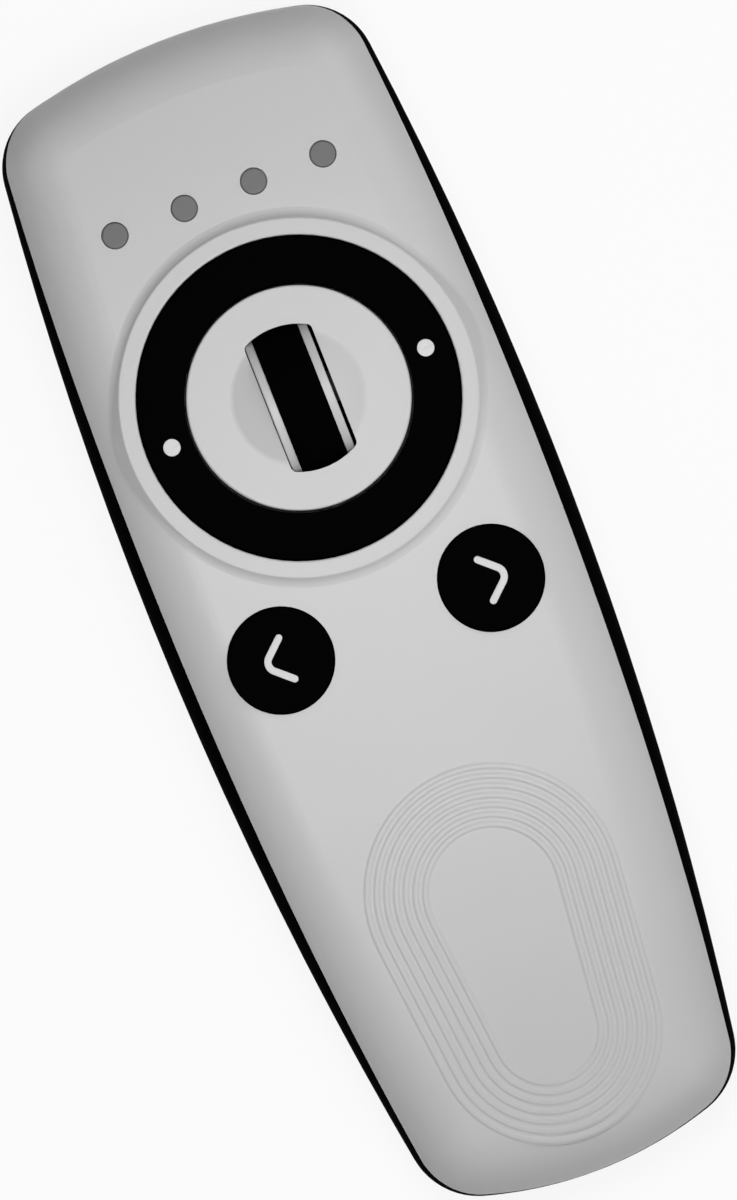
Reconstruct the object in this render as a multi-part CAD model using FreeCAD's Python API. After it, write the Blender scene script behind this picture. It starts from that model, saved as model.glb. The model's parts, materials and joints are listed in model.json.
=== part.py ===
"""Handheld remote control with a scroll wheel inside a rocking ring, built as its real pieces.

The remote lies on its back: +Z is up through the control face, +Y runs to the head with the
four indicator windows, and X crosses it. The origin is the middle of the flat back. Millimetres.
"""

import FreeCAD
import Part
import math
import os

# Outline seen from above: two long side arcs, a head arc, a tail arc and four corner arcs
LENGTH = 150.4
WIDTH = 54.6
WAIST_FROM_PAD = 16.3     # from the pad's middle to where the body is widest
SIDE_RADIUS = 497.0
HEAD_RADIUS = 73.3
HEAD_CORNER = 8.7
TAIL_RADIUS = 50.6
TAIL_CORNER = 9.2

# Side view: a crowned face over a flat back
HEIGHT = 20.0             # at the crest of the face
CREST_Y = 20.1
CROWN_RADIUS = 1200.0
FACE_ROUND = 8.0
BACK_ROUND = 7.0
WALL = 2.0

# Parting line between the pale front shell and the dark rear shell, seen from the side
PARTING_Y = 12.1
PARTING_DROP = 3.0        # below the crest of the face
PARTING_HEAD_RADIUS = 560.0
PARTING_TAIL_RADIUS = 670.0
KNEE_INSET = 8.0          # from each end, where the front shell starts to wrap down
HEAD_KNEE_RADIUS = 14.0
TAIL_KNEE_RADIUS = 30.0
KNEE_SLOPE = 45.0         # degrees

# Raised round pad that carries the controls
PAD_FROM_HEAD = 47.7
PAD_RISE = 0.7            # above the crest
PAD_RADIUS = 22.2
PAD_SLOPE = 55.0          # degrees, the pad's conical edge
PAD_FOOT_ROUND = 1.3
PAD_FOOT_SHARE = 0.3      # of the strip beside the pad, at most, for the round
PAD_EDGE = 0.25
PAD_ROOT = 2.3            # below the crest, inside the wall
OPENING_EDGE = 0.25       # rounds the edge of the ring's opening

# Rocking ring
RING_RADIUS = 19.85
RING_BORE = 14.2
RING_PROUD = 0.25         # above the pad
RING_CROWN = 0.25
RING_EDGE = 0.25
RING_PLATE = 1.6
RING_SKIRT = 1.2
RING_GAP = 0.27           # to the front shell
RING_FLANGE = 1.3
RING_FLANGE_THICK = 0.8
RING_TILT = 1.8           # degrees each way
RING_PLAY = 0.1           # left over the flange at full tilt
RING_POCKET = 0.15        # the flange's pocket goes this much into the wall
PIN_RADIUS = 0.85
PIN_CLEARANCE = 0.08
PIN_RISE = 1.5            # above the control frame
LUG_HALF = 1.9            # half width of the ring's pin lugs
EAR_THICK = 1.5
EAR_GAP = 0.5

# Fixed hub plate inside the ring
HUB_GAP = 0.32            # to the ring
HUB_PLATE = 1.6
HUB_SKIRT = 1.2
HUB_EDGE = 0.25
MOUND_RADIUS = 8.2        # low mound that carries the slot's long edges up beside the wheel
MOUND_RISE = 1.5
MOUND_FOOT = 1.6
SLOT_LEFT = 4.08
SLOT_RIGHT = 4.67
SLOT_REACH = 9.15         # the slot's ends are arcs about the hub's centre
SLOT_CORNER = 0.8
HUB_PEGS = 4
PEG_RADIUS = 0.5
PEG_CLEARANCE = 0.05

# Scroll wheel
WHEEL_RADIUS = 10.0
WHEEL_WIDTH = 8.15
WHEEL_X = 0.12            # the wheel's middle plane
WHEEL_DEPTH = 6.6         # from the hub plate's face down to the axle
TYRE_WIDTH = 6.05
TYRE_DEPTH = 1.6
TYRE_CROWN = 0.25
RIM_DROP = 0.15           # the rims stand this much below the tyre
RIM_DEPTH = 2.0
RIM_BEVEL = 0.12
CORE_RIM = 1.2
CORE_HUB = 2.2
AXLE_RADIUS = 1.0
AXLE_CLEARANCE = 0.05
AXLE_END = 0.5
SPOKES = 6
SPOKE_THICK = 1.2

# Cradle that lets the wheel be pressed
PRESS_TRAVEL = 0.5
CHEEK_GAP = 0.7
CHEEK_THICK = 1.5
CHEEK_HALF = 2.6
CHEEK_TOP = 2.0           # above the axle
BEARING_GAP = 0.15        # from the cheeks' bearing bosses to the wheel's core
CRADLE_RADIUS = 12.1
CRADLE_GAP = 0.3
CRADLE_SINK = 0.1         # below the top of the control frame
TAB_REACH = 15.0
TAB_HALF = 2.2
TAB_THICK = 0.8
TAB_GAP = 0.1
SLOT_MARGIN = 0.6

# Encoder and detent on the axle
DISC_GAP = 0.9
ENCODER_RADIUS = 4.6
ENCODER_THICK = 0.6
ENCODER_SLOTS = 20
SLIT_WIDTH = 0.5
SLIT_LENGTH = 1.1
SLIT_MARGIN = 0.4
DETENT_RADIUS = 4.2
DETENT_WIDTH = 1.5
DETENTS = 24
NOTCH_RADIUS = 0.35
LEAF = 0.25
LEAF_GAP = 0.1
LEAF_HEIGHT = 3.1
LEAF_FOOT = 3.8
LEAF_RIVET = 2.7          # from the blade to the rivet in the foot
FORK_DEPTH = 2.5
FORK_ARM = 1.1
FORK_HEIGHT = 2.7
FORK_GAP = 0.3

# Channel buttons
BUTTON_X = 13.9
BUTTON_FROM_PAD = 29.3
BUTTON_RADIUS = 6.45
BUTTON_GAP = 0.25
BUTTON_PROUD = 0.6
BUTTON_FLANGE = 0.9
BUTTON_FLANGE_THICK = 0.7
BUTTON_FLANGE_DROP = 0.7  # below the inner face of the shell
BUTTON_EDGE = 0.4
BUTTON_DIP = 0.25
BUTTON_SKIRT = 1.2
BUTTON_PLATE = 1.6

# Indicator windows
WINDOW_FROM_HEAD = 20.8
WINDOW_PITCH = 9.175
WINDOWS = 4
WINDOW_RADIUS = 1.7
WINDOW_GAP = 0.06
WINDOW_SINK = 0.05
WINDOW_EDGE = 0.25
GUIDE_HALF = 2.2
GUIDE_THICK = 1.3
GUIDE_DROP = 0.3
GUIDE_OVERHANG = 4.0
GUIDE_LEG = 1.2
LED_LENGTH = 2.0
LED_WIDTH = 1.25
LED_CORNER = 0.2
LED_HEIGHT = 0.7
LED_GAP = 0.3

# Grip ridges: tapered ovals, one inside the other
RIDGES = 7
RIDGE_FROM_TAIL = 18.9    # the tail end of the body to the middle of the ovals' tail circles
RIDGE_LENGTH = 18.35      # from there to the middle of their head circles
RIDGE_HEAD_RADIUS = 8.4
RIDGE_TAIL_RADIUS = 6.55
RIDGE_PITCH = 1.2
RIDGE_WIDTH = 1.1         # of the band under a ridge, its foot is inside the wall
RIDGE_HEIGHT = 0.16
RIDGE_ROOT = 1.0          # below the face
RIDGE_SLOPE = 0.38        # each flank slopes over this much of the width
RIDGE_FALL = 0.2          # and falls this much on the way

# Circuit board and the control frame above it
BOARD_DROP = 9.0          # from the crest of the face to the board's upper side
BOARD_THICK = 1.6
BOARD_MARGIN = 1.4        # to the shell's inner wall
BOARD_FROM_HEAD = 17.2
BOARD_FROM_TAIL = 19.2
BOARD_CORNER = 2.0
FRAME_THICK = 1.6
FRAME_HALF_X = 20.0
FRAME_HALF_Y = 22.4
FRAME_CORNER = 3.0

# Rubber domes
MAT_THICK = 0.8
MAT_MARGIN = 1.2
DOME_HEIGHT = 4.0         # above the board
DOME_RADIUS = 3.2
DOME_TOP = 1.9
DOME_WALL = 0.7
DOME_PILL = 1.2
LEG_RADIUS = 1.6
LEG_GAP = 0.05
LEG_ROOT = 0.1            # inside the plate that carries the leg
RING_LEG_ARM = 17.3
SNAP_RADIUS = 2.0
SNAP_ARM = 13.5
SNAP_LEFT = 0.15          # height left of a snap dome when it is pressed

# Screws
BOARD_SCREW_X = 17.0
BOARD_SCREW_ARM = 19.4    # along Y from the pad's centre
TAIL_SCREW_X = 13.5
TAIL_SCREW_FROM_TAIL = 25.2
BOARD_SCREW_RADIUS = 1.0
BOARD_SCREW_HEAD = 1.9
BOARD_HEAD_THICK = 1.0
BOARD_BOSS = 2.6
BOARD_SCREW_BITE = 3.4
HEAD_SHELL_SCREW_X = 15.0
TAIL_SHELL_SCREW_X = 12.0
SHELL_SCREW_FROM_END = 13.2
SHELL_SCREW_RADIUS = 1.25
SHELL_SCREW_HEAD = 2.2
SHELL_HEAD_THICK = 1.6
SHELL_SEAT = 2.5
SHELL_BOSS = 3.4
SHELL_BOSS_DROP = 0.5     # the rear bosses end this much below the board's upper side
SHELL_SCREW_BITE = 4.0
SCREW_CLEARANCE = 0.05
HEAD_CLEARANCE = 0.3
CROSS_WIDTH = 0.5
CROSS_SPAN = 0.6          # of the head's width

# Battery bay under a round twist cap
BAY_FROM_TAIL = 39.2
CELL_RADIUS = 12.25
CELL_THICK = 3.2
CELL_STEP = 0.3
CELL_EDGE = 0.3
CELL_RIM = 1.6
CAP_RADIUS = 14.6
CAP_RECESS = 0.2
CAP_FLANGE = 0.7
CAP_STEP = 1.9            # the plug is this much smaller than the cap's flange
CAP_GAP = 0.2
SEAL_THICK = 0.3
SEAL_WIDTH = 1.0
SEAL_GAP = 0.02
LEDGE_THICK = 0.9
LUG_HEIGHT = 0.75
LUG_REACH = 0.8
LUG_ANGLE = 26.0
LUG_MARGIN = 3.0
LUG_GAP = 0.05
LUGS = 3
CAP_TURN = 40.0
COIN_SLOT_LENGTH = 17.0
COIN_SLOT_WIDTH = 1.8
COIN_SLOT_CORNER = 0.85
COIN_SLOT_DEPTH = 1.0
BAY_WALL = 1.2
BAY_DROP = 2.05           # from the board's underside to the top of the bay's wall
CONTACT = 0.25
CONTACT_WIDTH = 3.0
CONTACT_FOOT = 4.0
CONTACT_SLANT = 10.0

# Set-up button reached through the back
SETUP_X = 8.0
SETUP_FROM_BAY = 26.0
SETUP_RADIUS = 1.35
SETUP_FLANGE = 2.3
SETUP_FLANGE_THICK = 0.8
SETUP_GAP = 0.15
SETUP_RECESS = 0.3
SETUP_TRAVEL = 0.4
SETUP_COLLAR = 2.6
SWITCH_SIZE = 5.0
SWITCH_CORNER = 0.5
SWITCH_BODY = 1.6
SWITCH_PLUNGER = 1.3

# Parts on the circuit board
CHIP_SIZE = 7.0
CHIP_THICK = 0.9
CHIP_EDGE = 0.15
CHIP_STAND = 0.1          # above the board
CHIP_Y = -20.0
LEADS = 8                 # along each side
LEAD_THICK = 0.15
LEAD_HEIGHT = 0.4
LEAD_ROOT = 0.1           # inside the chip
LEAD_SHOULDER = 0.35
LEAD_KNEE = 0.5
LEAD_REACH = 1.0
RADIO_SIZE = 5.0
RADIO_Y = -32.0
CRYSTAL_X = 8.5
CRYSTAL_Y = -24.0
CRYSTAL_LENGTH = 4.6
CRYSTAL_WIDTH = 2.0
CRYSTAL_HEIGHT = 1.6
CRYSTAL_CORNER = 0.9
CRYSTAL_EDGE = 0.3
CAPACITORS = 5
CAPACITOR_LENGTH = 2.0
CAPACITOR_WIDTH = 1.2
CAPACITOR_HEIGHT = 0.9
CAPACITOR_PITCH = 3.4
CAPACITOR_Y = -40.0
ANTENNA_X = -16.5
ANTENNA_HEAD_Y = -14.0
ANTENNA_TAIL_Y = -42.0
ANTENNA_RISE = 2.2
ANTENNA_BEND = 1.2
ANTENNA_RADIUS = 0.35

SAME = 0.001              # lengths that differ by less count as equal

# Levels and places that follow from the sizes above
PAD_Y = LENGTH / 2 - PAD_FROM_HEAD
WAIST_Y = PAD_Y - WAIST_FROM_PAD
BUTTON_Y = PAD_Y - BUTTON_FROM_PAD
WINDOW_Y = LENGTH / 2 - WINDOW_FROM_HEAD
RIDGE_TAIL_Y = RIDGE_FROM_TAIL - LENGTH / 2
RIDGE_HEAD_Y = RIDGE_TAIL_Y + RIDGE_LENGTH
BOARD_HEAD_Y = LENGTH / 2 - BOARD_FROM_HEAD
BOARD_TAIL_Y = BOARD_FROM_TAIL - LENGTH / 2
TAIL_SCREW_Y = TAIL_SCREW_FROM_TAIL - LENGTH / 2
SHELL_SCREW_Y = LENGTH / 2 - SHELL_SCREW_FROM_END
BAY_Y = BAY_FROM_TAIL - LENGTH / 2
SETUP_Y = BAY_Y + SETUP_FROM_BAY
CROWN_Z = HEIGHT - CROWN_RADIUS
PAD_Z = HEIGHT + PAD_RISE
RING_Z = PAD_Z + RING_PROUD
HUB_RADIUS = RING_BORE - HUB_GAP
AXLE_Z = RING_Z - WHEEL_DEPTH
BOARD_TOP = HEIGHT - BOARD_DROP
BOARD_LOW = BOARD_TOP - BOARD_THICK
SHELL_BOSS_TOP = BOARD_TOP - SHELL_BOSS_DROP
SNAP_HEIGHT = PRESS_TRAVEL + SNAP_LEFT
CRADLE_LOW = BOARD_TOP + SNAP_HEIGHT + LEG_GAP
TAB_TOP = CRADLE_LOW + TAB_THICK
FRAME_LOW = TAB_TOP + TAB_GAP
FRAME_TOP = FRAME_LOW + FRAME_THICK
DOME_Z = BOARD_TOP + DOME_HEIGHT
PIN_Z = FRAME_TOP + PIN_RISE
POCKET_Z = HEIGHT - WALL + RING_POCKET
FLANGE_RADIUS = RING_RADIUS + RING_FLANGE
FLANGE_TOP = POCKET_Z - FLANGE_RADIUS * math.sin(math.radians(RING_TILT)) - RING_PLAY
RING_LOW = FLANGE_TOP - RING_FLANGE_THICK
PLATE_LOW = RING_Z - RING_PLATE
CHEEK_X = WHEEL_WIDTH / 2 + CHEEK_GAP
CHEEK_END = CHEEK_X + CHEEK_THICK
DISC_X = CHEEK_END + DISC_GAP
CRADLE_TOP = FRAME_TOP - CRADLE_SINK
LEDGE_LOW = CAP_RECESS + CAP_FLANGE + SEAL_THICK
LEDGE_TOP = LEDGE_LOW + LEDGE_THICK
LUG_LOW = LEDGE_TOP + LUG_GAP
PLUG_TOP = LUG_LOW + LUG_HEIGHT
PLUG_RADIUS = CAP_RADIUS - CAP_STEP
LEDGE_RADIUS = PLUG_RADIUS + CAP_GAP
BAY_RADIUS = PLUG_RADIUS + LUG_REACH + CAP_GAP
CELL_LOW = PLUG_TOP + LUG_GAP
CELL_TOP = CELL_LOW + CELL_THICK
BAY_TOP = BOARD_LOW - BAY_DROP
SWITCH_LOW = BOARD_LOW - SWITCH_BODY - SWITCH_PLUNGER


def vec(x, y, z=0.0):
    return FreeCAD.Vector(x, y, z)


def unit(vector):
    copy = FreeCAD.Vector(vector)
    copy.normalize()
    return copy


def post(x, y, radius, low, high):
    """A round post along Z."""
    return Part.makeCylinder(radius, high - low, vec(x, y, low))


def collar(x, y, radius, bore, low, high):
    """A round tube along Z."""
    return post(x, y, radius, low, high).cut(post(x, y, bore, low - 1, high + 1))


def rod(x_low, x_high, y, z, radius):
    """A round rod along X."""
    return Part.makeCylinder(radius, x_high - x_low, vec(x_low, y, z), vec(1, 0, 0))


def block(x_low, x_high, y_low, y_high, z_low, z_high):
    return Part.makeBox(x_high - x_low, y_high - y_low, z_high - z_low, vec(x_low, y_low, z_low))


def centred(x, y, size_x, size_y, low, high):
    """A block with its middle at (x, y)."""
    return block(x - size_x / 2, x + size_x / 2, y - size_y / 2, y + size_y / 2, low, high)


def fused(shapes):
    return shapes[0].multiFuse(shapes[1:]).removeSplitter()


def group(shapes):
    """Separate solids that share one node."""
    return Part.makeCompound(shapes)


def mirrored(shape):
    return shape.mirror(vec(0, 0), vec(1, 0))


def both_sides(shape):
    return [shape, mirrored(shape)]


def arc(centre, start, end):
    """The short arc from start to end about centre."""
    reach = (start - centre).Length
    middle = unit(unit(start - centre) + unit(end - centre))
    return Part.Arc(start, centre + middle * reach, end).toShape()


def line(start, end):
    return Part.makeLine(start, end)


def face_of(edges):
    return Part.Face(Part.Wire(edges))


def polygon_face(points):
    return Part.Face(Part.makePolygon(points + points[:1]))


def turned(points, x, y):
    """A solid turned about the vertical line through (x, y) from (radius, z) points."""
    section = polygon_face([vec(x + radius, y, z) for radius, z in points])
    return section.revolve(vec(x, y), vec(0, 0, 1), 360)


def turned_on_axle(points):
    """A solid turned about the wheel's axle from (x, radius) points, x from the wheel's middle."""
    section = polygon_face([vec(WHEEL_X + x, PAD_Y + radius, AXLE_Z) for x, radius in points])
    return section.revolve(vec(0, PAD_Y, AXLE_Z), vec(1, 0, 0), 360)


def sector(x, y, inner, outer, middle, sweep, low, high):
    """A piece of a flat ring: sweep degrees wide about the direction middle."""
    section = polygon_face([
        vec(x + inner, y, low), vec(x + outer, y, low),
        vec(x + outer, y, high), vec(x + inner, y, high),
    ])
    solid = section.revolve(vec(x, y), vec(0, 0, 1), sweep)
    solid.rotate(vec(x, y), vec(0, 0, 1), middle - sweep / 2)
    return solid


def around(shape, x, y, count, first=0.0):
    """Copies of a shape spread about the vertical line through (x, y)."""
    copies = []
    for index in range(count):
        copy = shape.copy()
        copy.rotate(vec(x, y), vec(0, 0, 1), first + index * 360 / count)
        copies.append(copy)
    return copies


def around_axle(shape, count):
    """Copies of a shape spread about the wheel's axle."""
    copies = []
    for index in range(count):
        copy = shape.copy()
        copy.rotate(vec(0, PAD_Y, AXLE_Z), vec(1, 0, 0), index * 360 / count)
        copies.append(copy)
    return copies


def ball_radius(radius, height):
    """Radius of the ball whose cap has that base radius and height."""
    return (radius ** 2 + height ** 2) / (2 * height)


def dish(x, y, top, radius, depth):
    """A shallow ball-shaped cutter whose rim has that radius at the level top."""
    ball = ball_radius(radius, depth)
    return Part.makeSphere(ball, vec(x, y, top - depth + ball))


def round_circle(shape, round_radius, radius, level, x, y):
    """Rounds the flat circular edge of that radius about (x, y) at that level."""
    picked = []
    for edge in shape.Edges:
        if edge.Degenerated or not isinstance(edge.Curve, Part.Circle):
            continue
        away = (edge.Curve.Center - vec(x, y, level)).Length
        if away < SAME and abs(edge.Curve.Radius - radius) < SAME:
            picked.append(edge)
    return shape.makeFillet(round_radius, picked)


def upright_edges(shape):
    """The straight vertical edges of a shape."""
    found = []
    for edge in shape.Edges:
        box = edge.BoundBox
        if box.XLength < SAME and box.YLength < SAME:
            found.append(edge)
    return found


def rounded_block(x, y, size_x, size_y, corner, low, high):
    plain = centred(x, y, size_x, size_y, low, high)
    return plain.makeFillet(corner, upright_edges(plain))


def screw(x, y, head_low, head_thick, head_radius, shank_radius, tip):
    """A pan head screw driven upwards, with a cross recess in its head."""
    seat = head_low + head_thick
    head = post(x, y, head_radius, head_low, seat)
    head = round_circle(head, head_thick / 2, head_radius, head_low, x, y)
    shank = turned([
        (0, seat - head_thick / 2), (shank_radius, seat - head_thick / 2),
        (shank_radius, tip - shank_radius), (shank_radius / 3, tip), (0, tip),
    ], x, y)
    arm = 2 * CROSS_SPAN * head_radius
    deep = head_low + head_thick / 2
    body = fused([head, shank])
    body = body.cut(centred(x, y, arm, CROSS_WIDTH, head_low - 1, deep))
    return body.cut(centred(x, y, CROSS_WIDTH, arm, head_low - 1, deep))


def crown_z(y, inset=0.0):
    """Height of the crowned face on the middle line, or of a face that far inside it."""
    return CROWN_Z + math.sqrt((CROWN_RADIUS - inset) ** 2 - (y - CREST_Y) ** 2)


def circles_meet(centre_a, radius_a, centre_b, radius_b):
    """The two points where circles cross, the one with the larger y first."""
    apart = (centre_b - centre_a).Length
    along = (radius_a ** 2 - radius_b ** 2 + apart ** 2) / (2 * apart)
    aside = math.sqrt(radius_a ** 2 - along ** 2)
    forward = unit(centre_b - centre_a)
    sideways = vec(-forward.y, forward.x)
    foot = centre_a + forward * along
    return sorted([foot + sideways * aside, foot - sideways * aside], key=lambda point: -point.y)


def outline(inset):
    """The body's outline from above, moved inwards by inset."""
    side = vec(WIDTH / 2 - SIDE_RADIUS, WAIST_Y)
    head = vec(0, LENGTH / 2 - HEAD_RADIUS)
    tail = vec(0, TAIL_RADIUS - LENGTH / 2)
    corner = circles_meet(side, SIDE_RADIUS - HEAD_CORNER, head, HEAD_RADIUS - HEAD_CORNER)[0]
    heel = circles_meet(side, SIDE_RADIUS - TAIL_CORNER, tail, TAIL_RADIUS - TAIL_CORNER)[1]
    side_low = side + unit(heel - side) * (SIDE_RADIUS - inset)
    side_high = side + unit(corner - side) * (SIDE_RADIUS - inset)
    head_end = head + unit(corner - head) * (HEAD_RADIUS - inset)
    tail_end = tail + unit(heel - tail) * (TAIL_RADIUS - inset)

    def flip(point):
        return vec(-point.x, point.y)

    return Part.Wire([
        arc(side, side_low, side_high),
        arc(corner, side_high, head_end),
        arc(head, head_end, flip(head_end)),
        arc(flip(corner), flip(head_end), flip(side_high)),
        arc(flip(side), flip(side_high), flip(side_low)),
        arc(flip(heel), flip(side_low), flip(tail_end)),
        arc(tail, flip(tail_end), tail_end),
        arc(heel, tail_end, side_low),
    ])


def crowned_block(inset):
    """Everything under the crowned face and over the flat back, moved inwards by inset."""
    left = -WIDTH
    head = vec(left, LENGTH, crown_z(LENGTH, inset))
    tail = vec(left, -LENGTH, crown_z(-LENGTH, inset))
    head_foot = vec(left, LENGTH, inset)
    tail_foot = vec(left, -LENGTH, inset)
    section = face_of([
        Part.Arc(tail, vec(left, CREST_Y, HEIGHT - inset), head).toShape(),
        line(head, head_foot),
        line(head_foot, tail_foot),
        line(tail_foot, tail),
    ])
    return section.extrude(vec(2 * WIDTH, 0))


def pebble(inset):
    """The whole closed body, every face moved inwards by inset."""
    prism = Part.Face(outline(inset)).extrude(vec(0, 0, HEIGHT + WALL))
    body = prism.common(crowned_block(inset)).Solids[0]
    face = max(body.Faces, key=lambda one: one.CenterOfMass.z)
    body = body.makeFillet(FACE_ROUND - inset, face.Edges)
    back = min(body.Faces, key=lambda one: one.CenterOfMass.z)
    return body.makeFillet(BACK_ROUND - inset, back.Edges)


def above_parting():
    """Everything on the front shell's side of the parting surface."""
    peak = vec(0, PARTING_Y, HEIGHT - PARTING_DROP)
    slope = math.radians(KNEE_SLOPE)

    def half(sign, radius, knee_radius):
        centre = peak - vec(0, 0, radius)
        lean = math.asin((LENGTH / 2 - KNEE_INSET - sign * PARTING_Y) / radius)
        outwards = vec(0, sign * math.sin(lean), math.cos(lean))
        knee = centre + outwards * radius
        knee_centre = centre + outwards * (radius - knee_radius)
        knee_end = knee_centre + vec(0, sign * math.sin(slope), math.cos(slope)) * knee_radius
        run = (knee_end.z + 2 * WALL) / math.tan(slope)
        foot = vec(0, knee_end.y + sign * run, -2 * WALL)
        return [arc(centre, peak, knee), arc(knee_centre, knee, knee_end), line(knee_end, foot)], foot

    head_edges, head_foot = half(1, PARTING_HEAD_RADIUS, HEAD_KNEE_RADIUS)
    tail_edges, tail_foot = half(-1, PARTING_TAIL_RADIUS, TAIL_KNEE_RADIUS)
    far = Part.makePolygon([
        head_foot,
        vec(0, LENGTH, -2 * WALL),
        vec(0, LENGTH, 2 * HEIGHT),
        vec(0, -LENGTH, 2 * HEIGHT),
        vec(0, -LENGTH, -2 * WALL),
        tail_foot,
    ])
    section = Part.Face(Part.Wire(Part.__sortEdges__(tail_edges + head_edges + far.Edges)))
    section.translate(vec(-WIDTH, 0))
    return section.extrude(vec(2 * WIDTH, 0))


def pad_on(shell):
    """Raises the round pad on the face, with a hollow round at its foot and a soft upper edge."""
    spread = (PAD_RISE + PAD_ROOT) / math.tan(math.radians(PAD_SLOPE))
    low = HEIGHT - PAD_ROOT
    raised = turned([(0, low), (PAD_RADIUS + spread, low), (PAD_RADIUS, PAD_Z), (0, PAD_Z)], 0, PAD_Y)
    body = shell.fuse(raised).removeSplitter()
    feet = []
    for face in body.Faces:
        if isinstance(face.Surface, Part.Cone):
            feet += [edge for edge in face.Edges if edge.BoundBox.ZMax < HEIGHT and not edge.isSeam(face)]
    foot_round = min(PAD_FOOT_ROUND, PAD_FOOT_SHARE * (WIDTH / 2 - PAD_RADIUS))
    body = body.makeFillet(foot_round, feet)
    return round_circle(body, PAD_EDGE, PAD_RADIUS, PAD_Z, 0, PAD_Y)


def tapered_oval(head_radius, tail_radius):
    """Two circles joined by their outer tangents."""
    head = vec(0, RIDGE_HEAD_Y)
    tail = vec(0, RIDGE_TAIL_Y)
    lean = math.asin((head_radius - tail_radius) / RIDGE_LENGTH)
    right = vec(math.cos(lean), -math.sin(lean))
    left = vec(-right.x, right.y)
    head_right = head + right * head_radius
    head_left = head + left * head_radius
    tail_right = tail + right * tail_radius
    tail_left = tail + left * tail_radius
    return Part.Wire([
        line(tail_right, head_right),
        Part.Arc(head_right, head + vec(0, head_radius), head_left).toShape(),
        line(head_left, tail_left),
        Part.Arc(tail_left, tail - vec(0, tail_radius), tail_right).toShape(),
    ])


def upper_band(shape):
    """The higher one of the two closed bands among a shape's faces."""
    bands = [face for face in shape.Faces if len(face.Wires) == 2]
    return max(bands, key=lambda one: one.CenterOfMass.z)


def ridges():
    """Raised bands with sloping flanks, along tapered ovals that follow the crowned face."""
    roof = crowned_block(-RIDGE_HEIGHT)
    floor = crowned_block(RIDGE_ROOT)
    shapes = []
    for index in range(RIDGES):
        grow = index * RIDGE_PITCH
        walls = []
        for side in (RIDGE_WIDTH / 2, -RIDGE_WIDTH / 2):
            oval = tapered_oval(RIDGE_HEAD_RADIUS + grow + side, RIDGE_TAIL_RADIUS + grow + side)
            oval.translate(vec(0, 0, BOARD_TOP))
            walls.append(Part.Face(oval).extrude(vec(0, 0, HEIGHT)))
        band = walls[0].cut(walls[1]).common(roof).cut(floor).Solids[0]
        band = band.makeChamfer(RIDGE_SLOPE, RIDGE_FALL, upper_band(band).OuterWire.Edges)
        top = upper_band(band)
        inner = [wire for wire in top.Wires if not wire.isSame(top.OuterWire)][0]
        shapes.append(band.makeChamfer(RIDGE_SLOPE, RIDGE_FALL, inner.Edges))
    return shapes


def frame_screw_places():
    places = []
    for side in (1, -1):
        for end in (1, -1):
            places.append((side * BOARD_SCREW_X, PAD_Y + end * BOARD_SCREW_ARM))
    return places


def tail_screw_places():
    return [(TAIL_SCREW_X, TAIL_SCREW_Y), (-TAIL_SCREW_X, TAIL_SCREW_Y)]


def shell_screw_places():
    places = []
    for x, y in ((HEAD_SHELL_SCREW_X, SHELL_SCREW_Y), (TAIL_SHELL_SCREW_X, -SHELL_SCREW_Y)):
        places += [(x, y), (-x, y)]
    return places


def window_places():
    first = -(WINDOWS - 1) / 2 * WINDOW_PITCH
    return [(first + index * WINDOW_PITCH, WINDOW_Y) for index in range(WINDOWS)]


def boss(x, y, radius, hole, low):
    """A screw boss that hangs from the inside of the face."""
    top = crown_z(y) - WALL / 2
    return collar(x, y, radius, hole, low, top)


def front_shell():
    body = pad_on(pebble(0).common(above_parting()).Solids[0])
    opening = RING_RADIUS + RING_GAP
    body = body.cut(post(0, PAD_Y, opening, BOARD_TOP, RING_Z + 1))
    body = round_circle(body, OPENING_EDGE, opening, PAD_Z, 0, PAD_Y)
    for x in (BUTTON_X, -BUTTON_X):
        body = body.cut(post(x, BUTTON_Y, BUTTON_RADIUS + BUTTON_GAP, BOARD_TOP, RING_Z + 1))
    for x, y in window_places():
        body = body.cut(post(x, y, WINDOW_RADIUS, BOARD_TOP, RING_Z + 1))
    body = body.multiFuse(ridges())
    body = body.cut(pebble(WALL))
    body = body.cut(post(0, PAD_Y, FLANGE_RADIUS + RING_GAP, BOARD_TOP, POCKET_Z))
    bosses = []
    pilot = BOARD_SCREW_RADIUS + SCREW_CLEARANCE
    for x, y in frame_screw_places():
        bosses.append(boss(x, y, BOARD_BOSS, pilot, FRAME_TOP))
    for x, y in tail_screw_places():
        bosses.append(boss(x, y, BOARD_BOSS, pilot, BOARD_TOP))
    for x, y in shell_screw_places():
        bosses.append(boss(x, y, SHELL_BOSS, SHELL_SCREW_RADIUS + SCREW_CLEARANCE, SHELL_BOSS_TOP))
    return fused([body] + bosses)


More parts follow.
